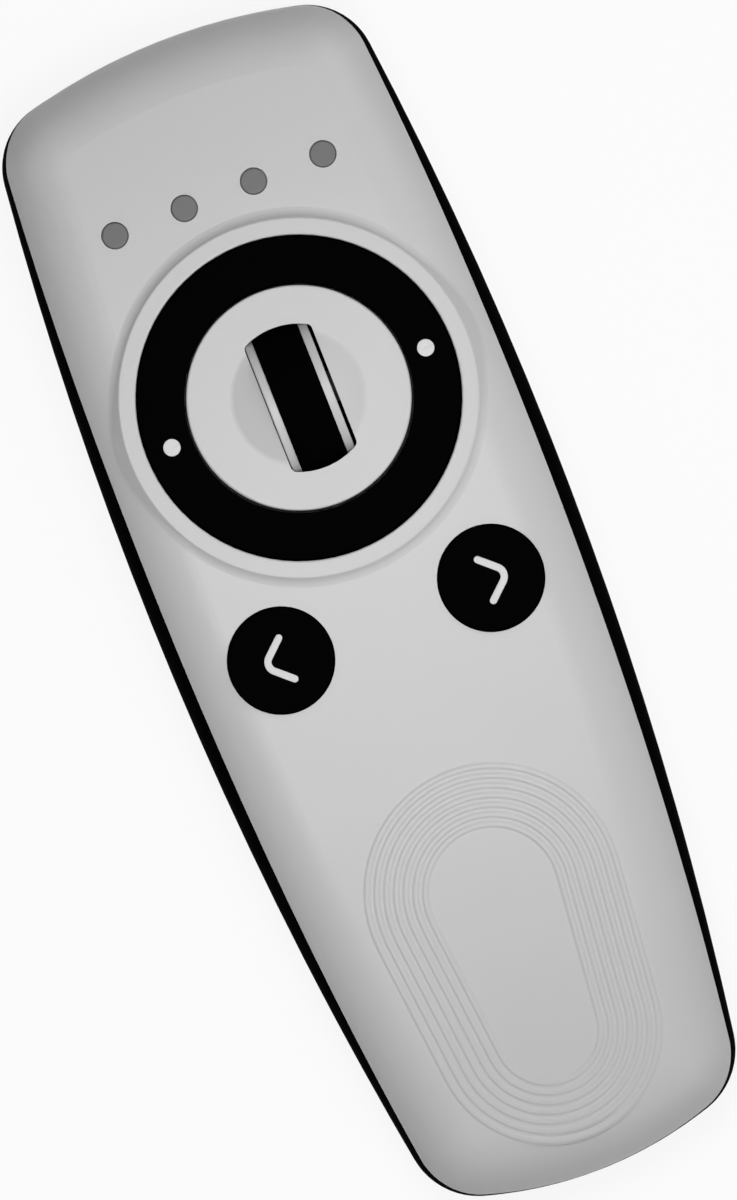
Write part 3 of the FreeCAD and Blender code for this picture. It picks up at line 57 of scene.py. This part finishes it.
CAMERA_DISTANCE = 1.2
CLIP_NEAR = 0.05
CLIP_FAR = 20.0
SENSOR = 36.0                   # millimetres, along the picture's long side

# Signs printed on the ring and the two buttons
DOT_REACH = 0.01678             # from the ring's middle, along its pivot line
DOT_RADIUS = 0.00107
DOT_POINTS = 48                 # round the dot
DOT_RINGS = (0, 0.3, 0.6, 0.85, 0.94, 0.98, 1)          # shares of the radius
CHEVRON_TIP = 0.00165           # from the button's middle outwards, all on the stroke's middle line
CHEVRON_END = 0.00075           # from the button's middle inwards
CHEVRON_HALF = 0.0027           # from the button's middle to either end, along the remote
CHEVRON_BEND = 0.0012
CHEVRON_STROKE = 0.0009
CHEVRON_STEPS = 16              # along each leg, and round the bend
CHEVRON_END_STEPS = 8           # over each rounded end
CHEVRON_LANES = (-1, -0.88, -0.5, 0, 0.5, 0.88, 1)      # shares of half the stroke
PRINT_RISE = 0.00003
PRINT_SINK = 0.0001             # from the surface down to the print's underside
PRINT_EDGE = 0.00006            # over which the print rounds down to its edge
PRINT_MERGE = PRINT_RISE / 10   # points nearer to each other than this become one
SEARCH_HEIGHT = 1.0             # from which a surface is looked for

# Finishes: grain is a length on the surface, mottle a share of the colour, level the shader's
# specular level and tone a factor on the record's colour
FINISHES = {
    "front_plastic": {
        "roughness": 0.42, "grain": 0.00022, "bump": 0.10, "mottle": 0.012, "level": 0.35,
    },
    "rear_plastic": {
        "roughness": 0.6, "grain": 0.0003, "bump": 0.25, "mottle": 0.15, "level": 0.001, "tone": 0.35,
    },
    "key_plastic": {
        "roughness": 0.7, "grain": 0.0002, "bump": 0.12, "mottle": 0.12, "level": 0.004, "tone": 0.35,
    },
    "tyre_rubber": {
        "roughness": 0.8, "grain": 0.00015, "bump": 0.3, "mottle": 0.2, "level": 0.004, "tone": 0.35,
    },
    "bright_rim": {
        "roughness": 0.5, "grain": 0.0002, "bump": 0.02, "mottle": 0.03, "metal": 0.1, "level": 0.05,
        "tone": 0.97,
    },
    "window_plastic": {
        "roughness": 0.3, "grain": 0.0004, "bump": 0.03, "mottle": 0.04, "level": 0.2,
    },
    "inner_plastic": {"roughness": 0.55, "grain": 0.0003, "bump": 0.2, "mottle": 0.1},
    "gear_plastic": {"roughness": 0.45, "grain": 0.0003, "bump": 0.1, "mottle": 0.03},
    "silicone": {"roughness": 0.6, "grain": 0.0004, "bump": 0.1, "mottle": 0.05},
    "steel": {"roughness": 0.3, "grain": 0.0001, "bump": 0.1, "mottle": 0.05, "metal": 1.0},
    "dark_screws": {"roughness": 0.4, "grain": 0.0002, "bump": 0.1, "mottle": 0.2, "metal": 0.6},
    "contact_metal": {"roughness": 0.28, "grain": 0.0001, "bump": 0.08, "mottle": 0.05, "metal": 1.0},
    "board": {"roughness": 0.4, "grain": 0.0006, "bump": 0.1, "mottle": 0.15},
    "chips": {"roughness": 0.6, "grain": 0.00015, "bump": 0.2, "mottle": 0.1},
    "ceramic_parts": {"roughness": 0.4, "grain": 0.0002, "bump": 0.1, "mottle": 0.08},
    "led_plastic": {"roughness": 0.2, "grain": 0.0004, "bump": 0.03, "mottle": 0.03},
    "copper_wire": {"roughness": 0.3, "grain": 0.0001, "bump": 0.06, "mottle": 0.08, "metal": 1.0},
}
PRINT_COLOUR = (0.7, 0.7, 0.7)
PRINT_FINISH = {"roughness": 0.5, "grain": 0.0002, "bump": 0.05, "mottle": 0.02}
GRAIN_DEPTH = 0.00002
GRAIN_NOISE = {"Detail": 3.0, "Roughness": 0.6}
MOTTLE_SIZE = 0.012
MOTTLE_NOISE = {"Detail": 4.0, "Roughness": 0.55}
GLOSS_SWING = 0.08              # share by which the grain changes the roughness, up and down

# Light: round lamps that face the picture's middle, placed to its right, up in it and above it
SOFTBOXES = {
    "key": {"right": 0.0, "up": 0.0, "height": 0.24, "wide": 0.1, "long": 0.1, "watts": 0.32},
    "head": {"right": 0.1, "up": 0.16, "height": 0.16, "wide": 0.1, "long": 0.1, "watts": 0.078},
    "side": {"right": 0.4, "up": -0.4, "height": 0.5, "wide": 0.4, "long": 0.4, "watts": 0.88},
}
WHITE = (1, 1, 1, 1)
AMBIENT = 0.175

# Floor
FLOOR_COLOUR = (0.9, 0.9, 0.9, 1)
FLOOR_WHITE = 0.9               # share of plain white that shows in the floor
FLOOR_NEAR = 0.5                # radius of its innermost part
FLOOR_RADIUS = 4.0
FLOOR_BEND = FLOOR_RADIUS / 2   # radius of the curve from the floor up to the wall
FLOOR_BEND_STEPS = 8
FLOOR_SIDES = 64
FLOOR_MERGE = 1e-6
WALL_HEIGHT = 4.0


# Shapes

def quarter_turn(steps):
    return [math.pi / 2 * index / steps for index in range(steps + 1)]


def piece_of(shape, name, merge):
    """Closes the seams of a shape and puts it into the scene, smooth."""
    bmesh.ops.remove_doubles(shape, verts=shape.verts, dist=merge)
    bmesh.ops.recalc_face_normals(shape, faces=shape.faces)
    mesh = bpy.data.meshes.new(name)
    shape.to_mesh(mesh)
    shape.free()
    mesh.polygons.foreach_set("use_smooth", [True] * len(mesh.polygons))
    piece = bpy.data.objects.new(name, mesh)
    bpy.context.scene.collection.objects.link(piece)
    return piece


# Signs

def surface_of(node):
    """A tree of a CAD node's faces, to find heights on them."""
    mesh = frame["nodes"][node].data
    corners = [vertex.co.copy() for vertex in mesh.vertices]
    return BVHTree.FromPolygons(corners, [list(face.vertices) for face in mesh.polygons])


def height_at(tree, x, y):
    """Height of the topmost face, looking straight down."""
    place = tree.ray_cast(Vector((x, y, SEARCH_HEIGHT)), Vector((0, 0, -1)))[0]
    return place.z


def printed(name, rows, node, body):
    """A thin raised print from rows of (x, y, edge distance), closed underneath."""
    tree = surface_of(node)
    shape = bmesh.new()
    tops = []
    feet = []
    for row in rows:
        upper = []
        lower = []
        for x, y, inside in row:
            z = height_at(tree, x, y)
            share = min(max(inside, 0.0) / PRINT_EDGE, 1.0)
            rise = PRINT_RISE * math.sqrt(1 - (1 - share) ** 2)
            upper.append(shape.verts.new((x, y, z + rise)))
            lower.append(shape.verts.new((x, y, z - PRINT_SINK)))
        tops.append(upper)
        feet.append(lower)
    for index in range(len(rows) - 1):
        for step in range(len(rows[0]) - 1):
            for sheet in (tops, feet):
                quad = (sheet[index][step], sheet[index + 1][step],
                        sheet[index + 1][step + 1], sheet[index][step + 1])
                shape.faces.new(quad)
    rim = [edge for edge in shape.edges if edge.is_boundary]
    bmesh.ops.bridge_loops(shape, edges=rim)
    piece = piece_of(shape, name, PRINT_MERGE)
    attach(piece, body)
    return piece


def chevron_path(side):
    """Points on the stroke's middle line about the button's middle, from one end to the other."""
    centre = Vector((CHEVRON_BEND - CHEVRON_TIP, 0))
    end = Vector((CHEVRON_END, CHEVRON_HALF))
    reach = (end - centre).length
    bearing = math.atan2(end.y - centre.y, end.x - centre.x)
    start = bearing + math.acos(CHEVRON_BEND / reach)
    touch = centre + CHEVRON_BEND * Vector((math.cos(start), math.sin(start)))
    leg = []
    for index in range(CHEVRON_STEPS):
        leg.append(end.lerp(touch, index / CHEVRON_STEPS))
    bend = []
    for index in range(CHEVRON_STEPS + 1):
        angle = start + (2 * math.pi - 2 * start) * index / CHEVRON_STEPS
        bend.append(centre + CHEVRON_BEND * Vector((math.cos(angle), math.sin(angle))))
    back = [Vector((point.x, -point.y)) for point in reversed(leg)]
    return [Vector((side * -point.x, point.y)) for point in leg + bend + back]


def chevron_rows(side, middle):
    """Rows across the stroke, drawn in to a half circle at each end."""
    path = chevron_path(side)
    half = CHEVRON_STROKE / 2
    lengths = [0.0]
    for before, after in zip(path, path[1:]):
        lengths.append(lengths[-1] + (after - before).length)
    total = lengths[-1]
    first = [half * (1 - math.cos(angle)) - half for angle in quarter_turn(CHEVRON_END_STEPS)]
    inner = [length for length in lengths if 0 < length < total]
    last = [total - station for station in reversed(first)]
    rows = []
    for station in first + inner + last:
        place = min(max(station, 0.0), total)
        index = max(i for i, length in enumerate(lengths[:-1]) if length <= place)
        span = lengths[index + 1] - lengths[index]
        ahead = (path[index + 1] - path[index]) / span
        point = path[index] + ahead * (station - lengths[index])
        beyond = abs(station - place)
        width = math.sqrt(max(half ** 2 - beyond ** 2, 0.0))
        across = Vector((-ahead.y, ahead.x))
        row = []
        for share in CHEVRON_LANES:
            spot = point + across * width * share
            inside = half - math.hypot(width * share, beyond)
            row.append((middle.x + spot.x, middle.y + spot.y, inside))
        rows.append(row)
    return rows


def dot_rows(middle):
    """Rings from the dot's middle out to its edge."""
    rows = []
    for share in DOT_RINGS:
        radius = DOT_RADIUS * share
        row = []
        for index in range(DOT_POINTS + 1):
            angle = 2 * math.pi * (index % DOT_POINTS) / DOT_POINTS
            x = middle.x + radius * math.cos(angle)
            y = middle.y + radius * math.sin(angle)
            row.append((x, y, DOT_RADIUS - radius))
        rows.append(row)
    return rows


def middle_of(node):
    low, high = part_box(node)
    return (low + high) / 2


# Finishes

def new_node(tree, kind, values=None):
    node = tree.nodes.new(kind)
    for key, value in (values or {}).items():
        node.inputs[key].default_value = value
    return node


def finish_of(name, colour, roughness, grain, bump, mottle, level=0.5, metal=0.0, tone=1.0):
    """A moulded or metal surface: fine grain in relief and gloss, slow mottling in its colour."""
    material = bpy.data.materials.new(name)
    material.use_nodes = True
    tree = material.node_tree
    shader = tree.nodes["Principled BSDF"]
    shader.inputs["Metallic"].default_value = metal
    shader.inputs["Specular IOR Level"].default_value = level
    place = new_node(tree, "ShaderNodeTexCoord").outputs["Object"]
    fine = new_node(tree, "ShaderNodeTexNoise", {"Scale": 1 / grain, **GRAIN_NOISE})
    slow = new_node(tree, "ShaderNodeTexNoise", {"Scale": 1 / MOTTLE_SIZE, **MOTTLE_NOISE})
    tree.links.new(place, fine.inputs["Vector"])
    tree.links.new(place, slow.inputs["Vector"])
    tint = new_node(tree, "ShaderNodeMix")
    tint.data_type = "RGBA"
    colours = [socket for socket in tint.inputs if socket.type == "RGBA"]
    colours[0].default_value = (*[part * tone * (1 - mottle) for part in colour], 1)
    colours[1].default_value = (*[min(part * tone * (1 + mottle), 1) for part in colour], 1)
    tree.links.new(slow.outputs["Fac"], tint.inputs[0])
    tinted = [socket for socket in tint.outputs if socket.type == "RGBA"][0]
    tree.links.new(tinted, shader.inputs["Base Color"])
    gloss = new_node(tree, "ShaderNodeMapRange", {
        "To Min": roughness * (1 - GLOSS_SWING), "To Max": min(roughness * (1 + GLOSS_SWING), 1.0),
    })
    tree.links.new(fine.outputs["Fac"], gloss.inputs["Value"])
    tree.links.new(gloss.outputs["Result"], shader.inputs["Roughness"])
    relief = new_node(tree, "ShaderNodeBump", {"Strength": bump, "Distance": GRAIN_DEPTH})
    tree.links.new(fine.outputs["Fac"], relief.inputs["Height"])
    tree.links.new(relief.outputs["Normal"], shader.inputs["Normal"])
    return material


def dress(piece, material):
    if not piece.material_slots:
        piece.data.materials.append(material)
    for holder in piece.material_slots:
        holder.material = material


# Stage, light and camera

def backdrop():
    """A round pale floor that curves up into a wall far away."""
    profile = [(0, 0), (FLOOR_NEAR, 0), (FLOOR_RADIUS - FLOOR_BEND, 0)]
    for angle in quarter_turn(FLOOR_BEND_STEPS):
        profile.append((FLOOR_BEND * (1 + math.sin(angle)), FLOOR_BEND * (1 - math.cos(angle))))
    profile.append((FLOOR_RADIUS, WALL_HEIGHT))
    shape = bmesh.new()
    path = [shape.verts.new((radius, 0, z)) for radius, z in profile]
    for first, second in zip(path, path[1:]):
        shape.edges.new((first, second))
    bmesh.ops.spin(
        shape, geom=shape.verts[:] + shape.edges[:], cent=(0, 0, 0), axis=(0, 0, 1),
        angle=2 * math.pi, steps=FLOOR_SIDES, use_merge=True,
    )
    floor = piece_of(shape, "floor", FLOOR_MERGE)
    return floor


def math_node(tree, operation, *values):
    """The result of an operation on sockets and plain numbers."""
    node = new_node(tree, "ShaderNodeMath")
    node.operation = operation
    for socket, value in zip(node.inputs, values):
        if isinstance(value, float):
            socket.default_value = value
        else:
            tree.links.new(value, socket)
    return node.outputs[0]


def floor_finish():
    """Pale and lit by the lamps, with plain white mixed in wherever the floor is seen."""
    material = bpy.data.materials.new("floor")
    material.use_nodes = True
    tree = material.node_tree
    tree.nodes.clear()
    rays = new_node(tree, "ShaderNodeLightPath").outputs
    direct = math_node(tree, "MAXIMUM", rays["Is Camera Ray"], rays["Is Glossy Ray"])
    seen = math_node(tree, "MAXIMUM", direct, rays["Is Transmission Ray"])
    share = math_node(tree, "MULTIPLY", seen, FLOOR_WHITE)
    lit = new_node(tree, "ShaderNodeBsdfDiffuse", {"Color": FLOOR_COLOUR})
    white = new_node(tree, "ShaderNodeEmission", {"Color": WHITE, "Strength": 1.0})
    mixed = new_node(tree, "ShaderNodeMixShader")
    out = new_node(tree, "ShaderNodeOutputMaterial")
    tree.links.new(share, mixed.inputs[0])
    tree.links.new(lit.outputs[0], mixed.inputs[1])
    tree.links.new(white.outputs[0], mixed.inputs[2])
    tree.links.new(mixed.outputs[0], out.inputs["Surface"])
    return material


def softbox(name, right, up, height, wide, long, watts):
    lamp = bpy.data.lights.new(name, "AREA")
    lamp.shape = "ELLIPSE"
    lamp.size = wide
    lamp.size_y = long
    lamp.energy = watts
    holder = bpy.data.objects.new(name, lamp)
    holder.location = PICTURE_MIDDLE + PICTURE_RIGHT * right + PICTURE_UP * up + Vector((0, 0, height))
    holder.rotation_euler = (PICTURE_MIDDLE - holder.location).to_track_quat("-Z", "Y").to_euler()
    holder.visible_camera = False
    bpy.context.scene.collection.objects.link(holder)


def ambient_light():
    world = bpy.data.worlds.new("studio")
    world.use_nodes = True
    backing = world.node_tree.nodes["Background"]
    backing.inputs["Color"].default_value = WHITE
    backing.inputs["Strength"].default_value = AMBIENT
    bpy.context.scene.world = world


def camera():
    data = bpy.data.cameras.new("camera")
    data.sensor_width = SENSOR
    data.lens = SENSOR * CAMERA_DISTANCE / PICTURE_SPAN
    data.clip_start = CLIP_NEAR
    data.clip_end = CLIP_FAR
    holder = bpy.data.objects.new("camera", data)
    holder.location = PICTURE_MIDDLE + Vector((0, 0, CAMERA_DISTANCE))
    holder.rotation_euler = (0, 0, -LEAN)
    bpy.context.scene.collection.objects.link(holder)
    bpy.context.scene.camera = holder


# The remote

materials = {}
for entry in frame["record"]["materials"]:
    slot = entry["slot"]
    materials[slot] = finish_of(slot, entry["base_color"], **FINISHES[slot])
for part in frame["record"]["subparts"]:
    dress(frame["nodes"][part["node"]], materials[part["material_slot"]])

signs = []
for side, node, body in ((-1, "prev_button", "prev_key"), (1, "next_button", "next_key")):
    signs.append(printed(body + "_chevron", chevron_rows(side, middle_of(node)), node, body))
for side, name in ((-1, "dot_left"), (1, "dot_right")):
    spot = middle_of("rocker_ring") + Vector((side * DOT_REACH, 0, 0))
    signs.append(printed(name, dot_rows(spot), "rocker_ring", "rocker"))
print_finish = finish_of("print", PRINT_COLOUR, **PRINT_FINISH)
for sign in signs:
    dress(sign, print_finish)

dress(backdrop(), floor_finish())
for name, setting in SOFTBOXES.items():
    softbox(name, **setting)
ambient_light()
camera()
bpy.context.scene.view_settings.view_transform = "Standard"
